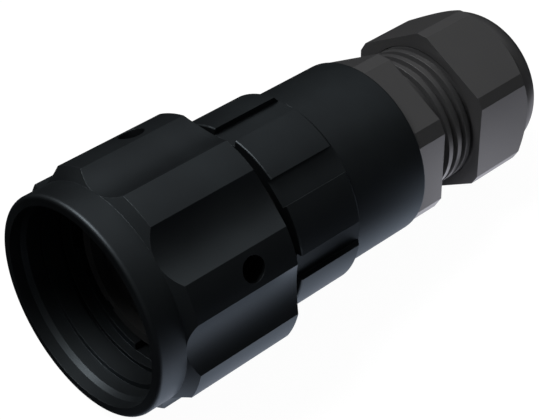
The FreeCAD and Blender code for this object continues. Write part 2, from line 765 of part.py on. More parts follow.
def make_gland_body():
    """Moulded gland body: front thread, hexagon with bevelled corners, rear thread core."""
    body = new_body("gland_body")
    sketch = new_sketch(body, "YZ_Plane", "hexagon", barrel_rear)
    draw_hexagon(sketch, d.across_flats)
    doc.recompute()
    block = extrude(body, "hexagon_block", sketch, d.body_hex_length)
    dress(body, "Chamfer", "corner_bevels", block, corner_edges(block, hexagon_corner),
          d.body_corner_cut * 2)
    spigot_front = barrel_rear - d.spigot_length
    spin(body, "gland_core", [
        (spigot_front, 0),
        (spigot_front, spigot_radius),
        (hexagon_rear, spigot_radius),
        (hexagon_rear, thread_core - d.relief_neck_cut),
        (thread_front, thread_core - d.relief_neck_cut),
        (thread_front, thread_core),
        (gland_rear - d.thread_edge, thread_core),
        (gland_rear, thread_core - d.thread_edge),
        (gland_rear, 0),
    ])
    claw_floor = gland_rear - d.claw_seat_depth
    spin(body, "gland_bore", [
        (spigot_front - d.overcut, 0),
        (spigot_front - d.overcut, d.cable_bore),
        (claw_floor, d.cable_bore),
        (claw_floor, claw_seat),
        (gland_rear + d.overcut, claw_seat),
        (gland_rear + d.overcut, 0),
    ], cut=True)
    return body


def make_clamping_claw():
    """Sleeve with eight fingers that the nut's cone presses on the cable's seal."""
    body = new_body("clamping_claw")
    spin(body, "claw_wall_turning", [
        (claw_front, d.cable_bore),
        (claw_front, claw_outer),
        (claw_bend, claw_outer),
        (claw_rear, claw_tip_radius),
        (claw_rear, claw_tip_inner),
        (claw_bend, claw_inner),
        (claw_front + d.sealing_offset, claw_inner),
        (claw_front + d.sealing_offset, d.cable_bore),
    ])
    sketch = new_sketch(body, "YZ_Plane", "finger_slot", claw_rear)
    draw_polygon(sketch, [
        (-d.claw_slot_width / 2, sealing_bore),
        (d.claw_slot_width / 2, sealing_bore),
        (d.claw_slot_width / 2, claw_seat + d.overcut),
        (-d.claw_slot_width / 2, claw_seat + d.overcut),
    ])
    doc.recompute()
    slot = extrude(body, "finger_gap", sketch, d.claw_slot_length, cut=True)
    repeat_round(body, "finger_gaps", [slot], d.claw_finger_count)
    return body


def make_sealing_insert():
    """Soft sleeve inside the claw, pressed round the cable."""
    body = new_body("sealing_insert")
    front = claw_front + d.sealing_offset + d.stack_gap
    spin(body, "sleeve", [
        (front, sealing_bore),
        (front, claw_inner - d.fit_gap),
        (claw_bend, claw_inner - d.fit_gap),
        (claw_rear, claw_tip_inner - d.fit_gap),
        (claw_rear, sealing_bore),
    ])
    return body


def make_pressure_nut():
    """Domed nut: hexagon with bevelled corners, inner cone and a hole for the cable."""
    body = new_body("pressure_nut")
    dome_radius = d.across_flats / 2 - d.dome_step
    bore_radius = thread_crest + d.nut_thread_clear
    sketch = new_sketch(body, "YZ_Plane", "nut_hexagon", nut_front)
    draw_hexagon(sketch, d.across_flats)
    doc.recompute()
    block = extrude(body, "nut_block", sketch, d.nut_hex_length)
    dress(body, "Chamfer", "nut_corner_bevels", block, corner_edges(block, hexagon_corner),
          d.nut_corner_cut * 2)
    spin(body, "turned_bevel", [
        (nut_hex_rear - d.nut_bevel - d.overcut, nut_corner + d.overcut),
        (nut_hex_rear + d.overcut, nut_corner - d.nut_bevel - d.overcut),
        (nut_hex_rear + d.overcut, nut_corner + d.overcut),
    ], cut=True)
    dome = spin(body, "dome", [
        (cone_front, 0),
        (cone_front, dome_radius),
        (nut_rear, dome_radius),
        (nut_rear, 0),
    ])
    dress(body, "Fillet", "dome_rounding", dome, circular_edges(dome, nut_rear, dome_radius),
          d.dome_length - d.dome_edge)
    spin(body, "nut_bore", [
        (nut_front - d.overcut, 0),
        (nut_front - d.overcut, bore_radius),
        (cone_front, bore_radius),
        (cone_front, bore_radius - d.nut_cone_step),
        (cone_rear, nut_cone_end),
        (slip_rear + d.stack_gap, slip_outer + d.running_gap),
        (slip_rear + d.stack_gap, d.cable_bore),
        (nut_rear + d.overcut, d.cable_bore),
        (nut_rear + d.overcut, 0),
    ], cut=True)
    return body


def turned(angle):
    """A place that only turns a piece about the plug's axis."""
    return FreeCAD.Placement(FreeCAD.Vector(), FreeCAD.Rotation(FreeCAD.Vector(1, 0, 0), angle))


def contact_place(k):
    """The place of one of the contacts round the middle one, the first straight up."""
    angle = math.radians(90 + 360 * k / number_of(d.contact_count))
    radius = number_of(d.contact_circle)
    return FreeCAD.Placement(
        FreeCAD.Vector(0, radius * math.cos(angle), radius * math.sin(angle)), FreeCAD.Rotation())


# Every piece with its place along the plug's own axis
ON_AXIS = FreeCAD.Placement()
pieces = [
    (make_coupling_ring(), turned(number_of(half_step + step))),
    (make_retaining_ring(), turned(number_of(d.clip_turn))),
    (tube("thrust_washer", washer_front, washer_rear, washer_inner,
          pocket_radius - d.running_gap), ON_AXIS),
    (make_wave_washer(), ON_AXIS),
    (make_plug_shell(), ON_AXIS),
    (tube("shell_gasket", gasket_front, flange_front, gasket_seat,
          shell_radius + d.gasket_height), ON_AXIS),
    (make_front_insulator(), ON_AXIS),
    (make_rear_grommet(), ON_AXIS),
    (make_contact("contact_middle"), ON_AXIS),
    (tube("grommet_follower", grommet_rear, stop_front - d.stack_gap, follower_inner,
          insert_radius), ON_AXIS),
    sealing_ring("shell_seal", barrel_front + d.seal_section, shell_thread_radius),
    (make_adapter_barrel(), ON_AXIS),
    sealing_ring("gland_seal", barrel_rear - d.seal_section - d.stack_gap / 2,
                 spigot_radius + d.fit_gap / 2),
    (make_gland_body(), ON_AXIS),
    (make_clamping_claw(), ON_AXIS),
    (make_sealing_insert(), ON_AXIS),
    (tube("slip_ring", slip_front, slip_rear, sealing_bore + d.slip_clear, slip_outer), ON_AXIS),
    (make_pressure_nut(), ON_AXIS),
]
for k in range(round(number_of(d.contact_count))):
    pieces.append((make_contact("contact_%d" % (k + 1)), contact_place(k)))
doc.recompute()

# How the plug lies: on the rear ends of the two lowest lands and on the nut's lowest corner
hollow_centre = number_of(scallop_floor + d.scallop_radius)
land_drop = (number_of(ring_radius) ** 2 + hollow_centre ** 2
             - number_of(d.scallop_radius) ** 2) / (2 * hollow_centre)
nut_rest = number_of(nut_hex_rear - d.nut_bevel)
ring_rest = number_of(d.ring_length)
tilt = math.degrees(math.atan2(land_drop - number_of(nut_corner), nut_rest - ring_rest))
lean = FreeCAD.Rotation(FreeCAD.Vector(0, 1, 0), tilt)
lowest = lean.multVec(FreeCAD.Vector(ring_rest, 0, -land_drop)).z


def lay_down(middle):
    """Places every piece of the plug at rest, with the origin under its middle."""
    rest = FreeCAD.Placement(FreeCAD.Vector(-middle, 0, -lowest), lean)
    for piece, place in pieces:
        piece.Placement = rest.multiply(place)
    doc.recompute()


lay_down(0)
bounds = FreeCAD.BoundBox()
for piece, place in pieces:
    bounds.add(piece.Shape.optimalBoundingBox())
lay_down(bounds.Center.x)

for item in doc.Objects:
    if "Invalid" in item.State or "Error" in item.State:
        raise RuntimeError("%s did not build: %s" % (item.Label, item.State))
os.makedirs("parts", exist_ok=True)
for piece, place in pieces:
    shape = piece.Shape
    if shape.isNull() or not shape.isValid() or len(shape.Solids) != 1:
        raise RuntimeError("%s has no sound solid" % piece.Label)
    shape.exportStep("parts/%s.step" % piece.Label)
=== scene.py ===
import json
import math

import bmesh
import bpy
from mathutils import Matrix, Vector


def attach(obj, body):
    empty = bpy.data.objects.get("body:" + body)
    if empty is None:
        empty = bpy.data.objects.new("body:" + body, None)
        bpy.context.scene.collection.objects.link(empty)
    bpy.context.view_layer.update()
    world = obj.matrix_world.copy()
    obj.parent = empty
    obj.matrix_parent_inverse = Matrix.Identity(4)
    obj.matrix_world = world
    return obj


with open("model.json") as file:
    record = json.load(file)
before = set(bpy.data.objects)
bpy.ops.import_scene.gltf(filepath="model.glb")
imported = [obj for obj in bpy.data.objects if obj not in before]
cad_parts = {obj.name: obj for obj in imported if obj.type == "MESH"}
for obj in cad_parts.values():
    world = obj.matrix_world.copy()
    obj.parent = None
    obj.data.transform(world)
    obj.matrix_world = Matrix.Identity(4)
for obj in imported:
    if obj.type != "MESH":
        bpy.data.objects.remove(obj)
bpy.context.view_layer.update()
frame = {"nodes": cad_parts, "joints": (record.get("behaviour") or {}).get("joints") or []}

nodes = frame["nodes"]

# The plug's axis as it lies: it runs from the mating rim to the cable end and drops by 4 degrees.
# Stations along it are measured from the rim, as in the CAD.
ring_turn = next(joint for joint in frame["joints"] if joint["name"] == "ring_turn")
RING_TURN_STATION = 0.012
axis = Vector(ring_turn["axis"]).normalized()
rim = Vector(ring_turn["pos_m"]) - axis * RING_TURN_STATION
tilt = math.atan2(-axis.z, axis.x)
along_plug = Matrix.Translation(rim) @ Matrix.Rotation(tilt, 4, "Y")


# Coupling ring and adapter barrel: turned aluminium, bead blasted and anodised black. Satin and
# nearly black with a cool sheen; sharp edges are rubbed a little paler.
def linear(hex_colour):
    """An sRGB hex colour as linear red, green, blue and alpha."""
    values = [int(hex_colour[i:i + 2], 16) / 255 for i in (1, 3, 5)]
    return [v / 12.92 if v <= 0.04045 else ((v + 0.055) / 1.055) ** 2.4 for v in values] + [1]


def add_node(tree, kind, links=None, values=None, **settings):
    """Adds a node: links feed sockets from other nodes, values set sockets directly."""
    node = tree.nodes.new(kind)
    for name, value in settings.items():
        setattr(node, name, value)
    for socket, value in (values or {}).items():
        node.inputs[socket].default_value = value
    for socket, source in (links or {}).items():
        tree.links.new(source, node.inputs[socket])
    return node


def new_material(name):
    """An empty material with its output node."""
    material = bpy.data.materials.new(name)
    material.use_nodes = True
    tree = material.node_tree
    tree.nodes.clear()
    return material, tree, tree.nodes.new("ShaderNodeOutputMaterial")


def paint(material, *names):
    """Gives a finish to CAD nodes."""
    for name in names:
        slots = nodes[name].data.materials
        slots.clear()
        slots.append(material)


def lathe_place(tree):
    """The surface point along the plug, its station, and a reach that grows in every cut."""
    spot = add_node(tree, "ShaderNodeTexCoord")
    place = add_node(tree, "ShaderNodeMapping", {"Vector": spot.outputs["Object"]},
                     {"Location": rim, "Rotation": (0, tilt, 0)}, vector_type="TEXTURE")
    parts = add_node(tree, "ShaderNodeSeparateXYZ", {0: place.outputs[0]})
    flat = add_node(tree, "ShaderNodeCombineXYZ", {"Y": parts.outputs[1], "Z": parts.outputs[2]})
    radius = add_node(tree, "ShaderNodeVectorMath", {0: flat.outputs[0]}, operation="LENGTH")
    reach = add_node(tree, "ShaderNodeMath", {0: parts.outputs[0], 1: radius.outputs["Value"]},
                     operation="ADD")
    return place.outputs[0], parts.outputs[0], reach.outputs[0]


# The feed and the grit are drawn coarser than real ones, which are too fine to show
TURNING_FEED = 0.00022
BLAST_GRIT = 0.00018
EDGE_ROUND = 0.00007
DYE_CLOUD = 0.0111

anodised, tree, output = new_material("black_anodised_aluminium")
place, _, reach = lathe_place(tree)
turning = add_node(tree, "ShaderNodeTexNoise", {"W": reach},
                   {"Scale": 1 / TURNING_FEED, "Detail": 1}, noise_dimensions="1D")
grit = add_node(tree, "ShaderNodeTexNoise", {"Vector": place},
                {"Scale": 1 / BLAST_GRIT, "Detail": 2})
relief = add_node(tree, "ShaderNodeMix", {"A": turning.outputs[0], "B": grit.outputs[0]},
                  {"Factor": 0.6})
edge = add_node(tree, "ShaderNodeBevel", values={"Radius": EDGE_ROUND}, samples=6)
bump = add_node(tree, "ShaderNodeBump", {"Height": relief.outputs[0], "Normal": edge.outputs[0]},
                {"Strength": 0.25, "Distance": 0.00002})
cloud = add_node(tree, "ShaderNodeTexNoise", {"Vector": place},
                 {"Scale": 1 / DYE_CLOUD, "Detail": 3})
dye = add_node(tree, "ShaderNodeValToRGB", {0: cloud.outputs[0]})
dye.color_ramp.elements[0].color = linear("#3a3e41")
dye.color_ramp.elements[1].color = linear("#3f4447")
dye.color_ramp.elements[0].position = 0.3
dye.color_ramp.elements[1].position = 0.7
face = add_node(tree, "ShaderNodeNewGeometry")
bend = add_node(tree, "ShaderNodeVectorMath",
                {0: edge.outputs[0], 1: face.outputs["Normal"]}, operation="DOT_PRODUCT")
# An edge is where the rounded normal leaves the flat one; up to an eighth of it is bare metal
rubbed = add_node(tree, "ShaderNodeMapRange", {"Value": bend.outputs["Value"]},
                  {"From Min": 1, "From Max": 0.75, "To Min": 0, "To Max": 0.12})
patchy = add_node(tree, "ShaderNodeMath", {0: rubbed.outputs[0], 1: cloud.outputs[0]},
                  operation="MULTIPLY")
worn = add_node(tree, "ShaderNodeMix", {"Factor": patchy.outputs[0]}, data_type="RGBA")
worn.inputs[7].default_value = linear("#9a9c9e")
tree.links.new(dye.outputs[0], worn.inputs[6])
gloss = add_node(tree, "ShaderNodeMapRange", {"Value": cloud.outputs[0]},
                 {"From Min": 0.3, "From Max": 0.7, "To Min": 0.49, "To Max": 0.54})
shader = add_node(tree, "ShaderNodeBsdfPrincipled",
                  {"Base Color": worn.outputs[2], "Roughness": gloss.outputs[0],
                   "Normal": bump.outputs[0]},
                  {"Metallic": 1, "Specular Tint": linear("#cfd4d8")})
tree.links.new(shader.outputs[0], output.inputs[0])
paint(anodised, "coupling_ring", "adapter_barrel")


# Rear end of the coupling ring: turned with it as a flat cone, so that the ring is a little longer
# at the bottom of each scallop than on the lands between them. Its outline is the ring's own, a
# circle with eight round scallops, and its front is sunk into the ring's flat end.
RING_END = 0.0255
LAND_RADIUS = 0.0198
SCALLOP_RADIUS = 0.009
SCALLOP_CENTRE = 0.02695
SCALLOP_COUNT = 8
STEPS_A_SCALLOP = 36
END_SINK = 0.00005
CONE_START = RING_END + 0.00002
CONE_SLOPE = 0.5
CONE_INNER_RADIUS = 0.0176
POCKET_RADIUS = 0.0166
SHARP_ANGLE = math.radians(20)

cone_rear = CONE_START + CONE_SLOPE * (LAND_RADIUS - CONE_INNER_RADIUS)
scallop_turn = 2 * math.pi / SCALLOP_COUNT
shape = bmesh.new()
rings = []
for step in range(SCALLOP_COUNT * STEPS_A_SCALLOP):
    turn = scallop_turn * step / STEPS_A_SCALLOP
    from_scallop = (turn + scallop_turn / 2) % scallop_turn - scallop_turn / 2
    aside = SCALLOP_CENTRE * math.sin(from_scallop)
    edge_radius = LAND_RADIUS
    if abs(aside) < SCALLOP_RADIUS:
        floor_radius = (SCALLOP_CENTRE * math.cos(from_scallop)
                        - math.sqrt(SCALLOP_RADIUS ** 2 - aside ** 2))
        edge_radius = min(LAND_RADIUS, floor_radius)
    profile = [
        (RING_END - END_SINK, POCKET_RADIUS + END_SINK),
        (RING_END - END_SINK, edge_radius - END_SINK),
        (RING_END, edge_radius),
        (CONE_START + CONE_SLOPE * (LAND_RADIUS - edge_radius), edge_radius),
        (cone_rear, CONE_INNER_RADIUS),
        (cone_rear, POCKET_RADIUS)]
    rings.append([shape.verts.new((depth, radius * math.cos(turn), radius * math.sin(turn)))
                  for depth, radius in profile])
for here, after in zip(rings, rings[1:] + rings[:1]):
    for k in range(len(here)):
        shape.faces.new((here[k - 1], here[k], after[k], after[k - 1]))
bmesh.ops.recalc_face_normals(shape, faces=shape.faces)
for face in shape.faces:
    face.smooth = True
for edge in shape.edges:
    edge.smooth = edge.calc_face_angle() < SHARP_ANGLE
shape.transform(along_plug)
end_mesh = bpy.data.meshes.new("coupling_ring_rear_end")
shape.to_mesh(end_mesh)
shape.free()
end_mesh.materials.append(anodised)
ring_rear_end = bpy.data.objects.new("coupling_ring_rear_end", end_mesh)
bpy.context.scene.collection.objects.link(ring_rear_end)
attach(ring_rear_end, "coupling")


# Plug shell: the same turned aluminium, given a dull colour far darker than the ring's as painted
# shade, as it stays in the shade inside the ring. It shows only the faint rings of the lathe.
SHADED_TONE_CLOUD = 0.0091

shade_darkened, tree, output = new_material("shade_darkened_aluminium")
place, _, reach = lathe_place(tree)
turning = add_node(tree, "ShaderNodeTexNoise", {"W": reach},
                   {"Scale": 1 / TURNING_FEED, "Detail": 1}, noise_dimensions="1D")
bump = add_node(tree, "ShaderNodeBump", {"Height": turning.outputs[0]},
                {"Strength": 0.3, "Distance": 0.00002})
cloud = add_node(tree, "ShaderNodeTexNoise", {"Vector": place},
                 {"Scale": 1 / SHADED_TONE_CLOUD, "Detail": 3})
# Painted shade: the shell's colour is set far darker than the ring's for the shade inside the
# ring, with a random cloud of tone
shaded_tone = add_node(tree, "ShaderNodeValToRGB", {0: cloud.outputs[0]})
shaded_tone.color_ramp.elements[0].color = linear("#121314")
shaded_tone.color_ramp.elements[1].color = linear("#1a1b1c")
shader = add_node(tree, "ShaderNodeBsdfPrincipled",
                  {"Base Color": shaded_tone.outputs[0], "Normal": bump.outputs[0]},
                  {"Roughness": 0.75, "IOR": 1.5})
tree.links.new(shader.outputs[0], output.inputs[0])
paint(shade_darkened, "plug_shell")


# Gland body, claw, slip ring, domed nut and the grommet's follower: injection moulded polyamide,
# dark grey, with the dull grain of a spark-eroded mould. The grain is drawn coarser than a real
# one, which is too fine to show.
MOULD_GRAIN = 0.00025
MOULD_CLOUD = 0.00833

polyamide, tree, output = new_material("dark_grey_polyamide")
spot = add_node(tree, "ShaderNodeTexCoord")
grain = add_node(tree, "ShaderNodeTexNoise", {"Vector": spot.outputs["Object"]},
                 {"Scale": 1 / MOULD_GRAIN, "Detail": 3})
edge = add_node(tree, "ShaderNodeBevel", values={"Radius": EDGE_ROUND}, samples=6)
bump = add_node(tree, "ShaderNodeBump", {"Height": grain.outputs[0], "Normal": edge.outputs[0]},
                {"Strength": 0.3, "Distance": 0.00002})
cloud = add_node(tree, "ShaderNodeTexNoise", {"Vector": spot.outputs["Object"]},
                 {"Scale": 1 / MOULD_CLOUD, "Detail": 3})
colour = add_node(tree, "ShaderNodeValToRGB", {0: cloud.outputs[0]})
colour.color_ramp.elements[0].color = linear("#39393a")
colour.color_ramp.elements[1].color = linear("#3f3f40")
shader = add_node(tree, "ShaderNodeBsdfPrincipled",
                  {"Base Color": colour.outputs[0], "Normal": bump.outputs[0]},
                  {"IOR": 1.58, "Roughness": 0.38})
tree.links.new(shader.outputs[0], output.inputs[0])
paint(polyamide, "gland_body", "pressure_nut", "clamping_claw", "slip_ring", "grommet_follower")


# Rear thread of the gland body: one moulded right-hand ridge that runs round the core, fading in
# at the hexagon's neck and out at the mouth. The nut is screwed on it.
THREAD_CORE = 0.0111
THREAD_HEIGHT = 0.00085
THREAD_SINK = 0.00005
THREAD_PITCH = 0.0021
THREAD_START = 0.0659
THREAD_TURNS = 6.19
THREAD_START_ANGLE = math.radians(-128.9)
STEPS_A_TURN = 96

tree = bpy.data.node_groups.new("thread_ridge", "GeometryNodeTree")
sizes = {"Core radius": THREAD_CORE - THREAD_SINK, "Pitch": THREAD_PITCH,
         "Turns": THREAD_TURNS, "Ridge height": THREAD_HEIGHT + THREAD_SINK,
         "Root width": 0.00125, "Crest width": 0.00095, "Crest rounding": 0.00005,
         "Run-out share": 0.04}
sockets = {name: tree.interface.new_socket(name, in_out="INPUT", socket_type="NodeSocketFloat")
           for name in sizes}
steps = tree.interface.new_socket("Steps a turn", in_out="INPUT", socket_type="NodeSocketInt")
finish = tree.interface.new_socket("Finish", in_out="INPUT", socket_type="NodeSocketMaterial")
tree.interface.new_socket("Ridge", in_out="OUTPUT", socket_type="NodeSocketGeometry")
given = add_node(tree, "NodeGroupInput").outputs
rise = add_node(tree, "ShaderNodeMath", {0: given["Pitch"], 1: given["Turns"]},
                operation="MULTIPLY")
helix = add_node(tree, "GeometryNodeCurveSpiral", {
    "Resolution": given["Steps a turn"], "Rotations": given["Turns"],
    "Start Radius": given["Core radius"], "End Radius": given["Core radius"],
    "Height": rise.outputs[0]}, {"Reverse": True})
upright = add_node(tree, "GeometryNodeSetCurveNormal", {"Curve": helix.outputs[0]}, mode="Z_UP")
section = add_node(tree, "GeometryNodeCurvePrimitiveQuadrilateral", {
    "Bottom Width": given["Root width"], "Top Width": given["Crest width"],
    "Height": given["Ridge height"]}, {"Offset": 0}, mode="TRAPEZOID")
half_height = add_node(tree, "ShaderNodeMath", {0: given["Ridge height"]}, {1: 0.5},
                       operation="MULTIPLY")
lift = add_node(tree, "ShaderNodeCombineXYZ", {"X": half_height.outputs[0]})
standing = add_node(tree, "GeometryNodeTransform", {
    "Geometry": section.outputs[0], "Translation": lift.outputs[0]},
    {"Rotation": (0, 0, -math.pi / 2)})
rounded = add_node(tree, "GeometryNodeFilletCurve", {
    "Curve": standing.outputs[0], "Radius": given["Crest rounding"]}, {"Count": 2}, mode="POLY")
along = add_node(tree, "GeometryNodeSplineParameter")
to_end = add_node(tree, "ShaderNodeMath", {1: along.outputs["Factor"]}, {0: 1},
                  operation="SUBTRACT")
nearer = add_node(tree, "ShaderNodeMath", {0: along.outputs["Factor"], 1: to_end.outputs[0]},
                  operation="MINIMUM")
fade = add_node(tree, "ShaderNodeMapRange", {
    "Value": nearer.outputs[0], "From Max": given["Run-out share"]},
    {"From Min": 0, "To Min": 0.05, "To Max": 1})
ridge = add_node(tree, "GeometryNodeCurveToMesh", {
    "Curve": upright.outputs[0], "Profile Curve": rounded.outputs[0],
    "Scale": fade.outputs[0]}, {"Fill Caps": True})
fold = add_node(tree, "GeometryNodeInputMeshEdgeAngle")
soft_fold = add_node(tree, "FunctionNodeCompare", {"A": fold.outputs["Unsigned Angle"]},
                     {"B": SHARP_ANGLE}, operation="LESS_THAN")
shaded = add_node(tree, "GeometryNodeSetShadeSmooth", {
    "Geometry": ridge.outputs[0], "Shade Smooth": soft_fold.outputs[0]}, domain="EDGE")
whole = add_node(tree, "GeometryNodeRealizeInstances", {"Geometry": shaded.outputs[0]})
painted = add_node(tree, "GeometryNodeSetMaterial", {
    "Geometry": whole.outputs[0], "Material": given["Finish"]})
add_node(tree, "NodeGroupOutput", {0: painted.outputs[0]})

draft = bpy.data.objects.new("thread_draft", bpy.data.meshes.new("thread_draft"))
bpy.context.scene.collection.objects.link(draft)
modifier = draft.modifiers.new("ridge", "NODES")
modifier.node_group = tree
for name, size in sizes.items():
    modifier[sockets[name].identifier] = size
modifier[steps.identifier] = STEPS_A_TURN
modifier[finish.identifier] = polyamide
evaluated = draft.evaluated_get(bpy.context.evaluated_depsgraph_get())
thread_mesh = bpy.data.meshes.new_from_object(evaluated)
bpy.data.objects.remove(draft)
# The helix stands on Z with its start on X: Z becomes the plug's axis, X its sideways direction
swing = Matrix(((0, 0, 1), (1, 0, 0), (0, 1, 0))).to_4x4()
thread_mesh.transform(along_plug @ Matrix.Translation((THREAD_START, 0, 0))
                      @ Matrix.Rotation(THREAD_START_ANGLE, 4, "X") @ swing)
gland_thread = bpy.data.objects.new("gland_thread", thread_mesh)
bpy.context.scene.collection.objects.link(gland_thread)
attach(gland_thread, "plug_body")


# Gaskets, grommet, sealing rings and sleeve: moulded black rubber. It is dull, with a fine
# bloom of dust in patches.
BLOOM_PATCH = 0.00385

rubber, tree, output = new_material("moulded_black_rubber")
spot = add_node(tree, "ShaderNodeTexCoord")
skin = add_node(tree, "ShaderNodeTexNoise", {"Vector": spot.outputs["Object"]},
                {"Scale": 1 / MOULD_GRAIN, "Detail": 2})
bump = add_node(tree, "ShaderNodeBump", {"Height": skin.outputs[0]},
                {"Strength": 0.35, "Distance": 0.00003})
bloom = add_node(tree, "ShaderNodeTexNoise", {"Vector": spot.outputs["Object"]},
                 {"Scale": 1 / BLOOM_PATCH, "Detail": 4})
shade = add_node(tree, "ShaderNodeValToRGB", {0: bloom.outputs[0]})
shade.color_ramp.elements[0].color = linear("#0d0d0d")
shade.color_ramp.elements[1].color = linear("#181818")
dull = add_node(tree, "ShaderNodeMapRange", {"Value": bloom.outputs[0]},
                {"To Min": 0.65, "To Max": 0.85})
shader = add_node(tree, "ShaderNodeBsdfPrincipled",
                  {"Base Color": shade.outputs[0], "Roughness": dull.outputs[0],
                   "Normal": bump.outputs[0]},
                  {"IOR": 1.52, "Sheen Weight": 0.03})
tree.links.new(shader.outputs[0], output.inputs[0])
paint(rubber, "shell_gasket", "rear_grommet", "shell_seal", "gland_seal", "sealing_insert")


# Front insulator: a hard moulded disc of glass-filled thermoset, black with faint pale flecks
# of filler.
FILLER_FLECK = 0.0003

thermoset, tree, output = new_material("glass_filled_black_thermoset")
spot = add_node(tree, "ShaderNodeTexCoord")
flecks = add_node(tree, "ShaderNodeTexVoronoi", {"Vector": spot.outputs["Object"]},
                  {"Scale": 1 / FILLER_FLECK})
shade = add_node(tree, "ShaderNodeValToRGB", {0: flecks.outputs["Distance"]})
shade.color_ramp.elements[0].color = linear("#1c1c1f")
shade.color_ramp.elements[1].color = linear("#121214")
shade.color_ramp.elements[1].position = 0.25
bump = add_node(tree, "ShaderNodeBump", {"Height": flecks.outputs["Distance"]},
                {"Strength": 0.15, "Distance": 0.00002})
shader = add_node(tree, "ShaderNodeBsdfPrincipled",
                  {"Base Color": shade.outputs[0], "Normal": bump.outputs[0]},
                  {"Roughness": 0.5, "IOR": 1.55})
tree.links.new(shader.outputs[0], output.inputs[0])
paint(thermoset, "front_insulator")


# Contacts: seven sockets turned from brass and plated with gold, which keeps the fine rings of
# the lathe and shows slightly darker patches. The rings are drawn coarser than real ones.
CONTACT_FEED = 0.00012
PLATING_PATCH = 0.00167

gold, tree, output = new_material("gold_plated_brass")
place, station, _ = lathe_place(tree)
rings = add_node(tree, "ShaderNodeTexNoise", {"W": station},
                 {"Scale": 1 / CONTACT_FEED, "Detail": 1}, noise_dimensions="1D")
bump = add_node(tree, "ShaderNodeBump", {"Height": rings.outputs[0]},
                {"Strength": 0.2, "Distance": 0.00001})
patch = add_node(tree, "ShaderNodeTexNoise", {"Vector": place},
                 {"Scale": 1 / PLATING_PATCH, "Detail": 2})
plating = add_node(tree, "ShaderNodeValToRGB", {0: patch.outputs[0]})
plating.color_ramp.elements[0].color = linear("#c79a45")
plating.color_ramp.elements[1].color = linear("#e0b65f")
gloss = add_node(tree, "ShaderNodeMapRange", {"Value": rings.outputs[0]},
                 {"To Min": 0.22, "To Max": 0.36})
shader = add_node(tree, "ShaderNodeBsdfPrincipled",
                  {"Base Color": plating.outputs[0], "Roughness": gloss.outputs[0],
                   "Normal": bump.outputs[0]}, {"Metallic": 1})
tree.links.new(shader.outputs[0], output.inputs[0])
paint(gold, "contact_middle", *["contact_%d" % k for k in range(1, 7)])


# Retaining ring and washers: stamped spring steel, blackened and oiled. Rolling lines run across
# it, and the oil leaves it unevenly glossy.
ROLLING_LINE = 0.0002
LINE_STRETCH = 0.05
OIL_PATCH = 0.00333

steel, tree, output = new_material("blackened_spring_steel")
spot = add_node(tree, "ShaderNodeTexCoord")
drawn = add_node(tree, "ShaderNodeMapping", {"Vector": spot.outputs["Object"]},
                 {"Scale": (1, LINE_STRETCH, 1)})
lines = add_node(tree, "ShaderNodeTexNoise", {"Vector": drawn.outputs[0]},
                 {"Scale": 1 / ROLLING_LINE, "Detail": 2})
bump = add_node(tree, "ShaderNodeBump", {"Height": lines.outputs[0]},
                {"Strength": 0.2, "Distance": 0.00001})
oil = add_node(tree, "ShaderNodeTexNoise", {"Vector": spot.outputs["Object"]},
               {"Scale": 1 / OIL_PATCH, "Detail": 3})
oxide = add_node(tree, "ShaderNodeValToRGB", {0: oil.outputs[0]})
oxide.color_ramp.elements[0].color = linear("#1b1b1d")
oxide.color_ramp.elements[1].color = linear("#2b2b2e")
gloss = add_node(tree, "ShaderNodeMapRange", {"Value": oil.outputs[0]},
                 {"To Min": 0.35, "To Max": 0.55})
shader = add_node(tree, "ShaderNodeBsdfPrincipled",
                  {"Base Color": oxide.outputs[0], "Roughness": gloss.outputs[0],
                   "Normal": bump.outputs[0]}, {"Metallic": 1})
tree.links.new(shader.outputs[0], output.inputs[0])
paint(steel, "retaining_ring", "thrust_washer", "wave_washer")


# Floor: a white sheet, far wider than the view. To the plug's gloss it glows as a painted strip of
# light beside the plug, slimmer at its waist, dimmer to the cable end and cut by a painted shadow
# in the plug's shade, and as a dim painted haze towards negative Y. Pairs are where a fade starts
# and ends.
FLOOR_WIDTH = 4
GLOW_MIDDLE = (0.013, -0.01)
GLOW_STRENGTH = 2.05
GLOW_ENDS = (0.056, 0.066)
GLOW_SIDES = (0.0065, 0.0215)
GLOW_FLARE = 0.013
FLARE_REACH = (0.006, 0.024)
SHADE_REACH = (-0.015, 0)
TAIL_REACH = (0.03, 0.055)
TAIL_STRENGTH = 0.5
HAZE_REACH = (-0.03, 0.03)
HAZE_STRENGTH = 0.06
WHITE_SHARE = 0.9
WHITE_STRENGTH = 1.08

bpy.ops.mesh.primitive_plane_add(size=FLOOR_WIDTH)
floor = bpy.context.object
floor.name = "floor"
paper, tree, output = new_material("white_paper")
shader = add_node(tree, "ShaderNodeBsdfDiffuse", values={"Color": linear("#f4f4f4")})
path = add_node(tree, "ShaderNodeLightPath")
mirrored = add_node(tree, "ShaderNodeMath", {
    0: path.outputs["Is Glossy Ray"], 1: path.outputs["Is Transmission Ray"]},
    operation="MAXIMUM")
spot = add_node(tree, "ShaderNodeTexCoord")
shifted = add_node(tree, "ShaderNodeMapping", {"Vector": spot.outputs["Object"]},
                   {"Location": (-GLOW_MIDDLE[0], -GLOW_MIDDLE[1], 0)})
folded = add_node(tree, "ShaderNodeVectorMath", {0: shifted.outputs[0]}, operation="ABSOLUTE")
off = add_node(tree, "ShaderNodeSeparateXYZ", {0: folded.outputs[0]})
# Painted light: a glowing strip that only glossy rays see, which paints the bright reflection on
# the plug's underside
ends = add_node(tree, "ShaderNodeMapRange", {"Value": off.outputs[0]},
                {"From Min": GLOW_ENDS[0], "From Max": GLOW_ENDS[1],
                 "To Min": GLOW_STRENGTH, "To Max": 0}, interpolation_type="SMOOTHSTEP")
flare = add_node(tree, "ShaderNodeMapRange", {"Value": off.outputs[0]},
                 {"From Min": FLARE_REACH[0], "From Max": FLARE_REACH[1],
                  "To Min": 0, "To Max": GLOW_FLARE}, interpolation_type="SMOOTHSTEP")
beyond = add_node(tree, "ShaderNodeMath", {0: off.outputs[1], 1: flare.outputs[0]},
                  operation="SUBTRACT")
